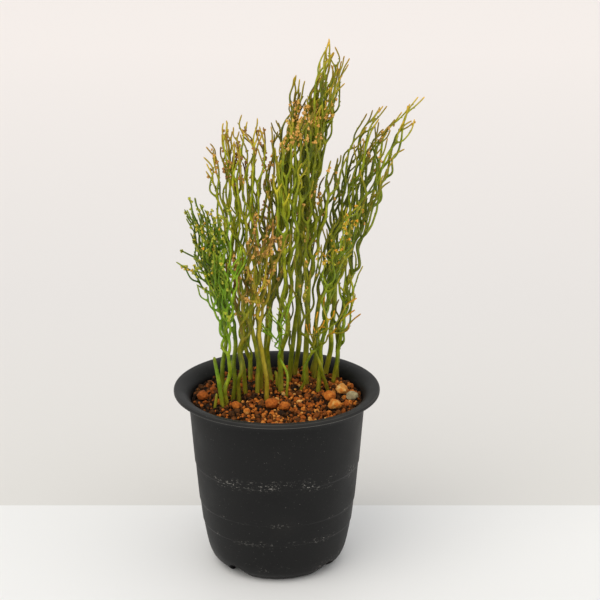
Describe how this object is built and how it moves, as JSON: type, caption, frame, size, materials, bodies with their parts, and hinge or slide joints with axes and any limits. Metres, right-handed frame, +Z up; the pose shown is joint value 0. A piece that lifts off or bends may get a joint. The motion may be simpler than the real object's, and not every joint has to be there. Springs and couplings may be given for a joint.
{
  "type": "potted whisk fern",
  "caption": "Leafless whisk fern: a clump of thin forking green stems with spore cases, in granular clay potting mix in a flared black plastic nursery pot.",
  "frame": {"origin": "middle of the pot's base, on the surface the pot stands on", "axes": "+Z up; the pot is round about Z; +X is to the right and +Y to the back as the plant is looked at"},
  "size_m": [0.1241, 0.105, 0.2706],
  "materials": {
    "black_plastic": "matt black moulded plastic with chalky scuffs",
    "potting_mix": "damp granules of baked clay, reddish brown",
    "stem_green": "living green stem, ridged, yellow to brown at the tips",
    "shoot_green": "young bright green shoot",
    "baked_clay": "rough orange to red baked clay",
    "pale_stone": "rough pale beige stone"
  },
  "bodies": {
    "root": {"pot": "black_plastic", "potting_mix": "potting_mix", "stem_left_outer": "stem_green", "stem_left_front": "stem_green", "stem_left_low": "stem_green", "stem_dry_front": "stem_green", "stem_brown_left": "stem_green", "stem_brown_right": "stem_green", "stem_inner_left": "stem_green", "stem_amber": "stem_green", "stem_back_tall": "stem_green", "stem_centre": "stem_green", "stem_top_front": "stem_green", "stem_back_middle": "stem_green", "stem_low_spreading": "stem_green", "stem_right_main": "stem_green", "stem_right_middle": "stem_green", "stem_grey_leaning": "stem_green", "stem_right_curly": "stem_green", "stem_right_outer": "stem_green", "stem_light_thick": "stem_green", "stem_back_centre": "stem_green", "stem_back_left": "stem_green", "stem_back_right": "stem_green", "stem_dark_tip": "stem_green", "stem_top_back": "stem_green", "stem_right_inner": "stem_green", "stem_curled_young": "stem_green", "shoot_bright": "shoot_green", "shoot_left_stub": "shoot_green", "shoot_middle_stub": "shoot_green", "shoot_right_stub": "shoot_green", "stone_red": "baked_clay", "stone_red_front": "baked_clay", "stone_orange_back": "baked_clay", "stone_tan": "baked_clay", "stone_orange_front": "baked_clay", "stone_grey": "pale_stone", "stone_far_left": "baked_clay", "stone_front": "baked_clay"}
  },
  "joints": []
}
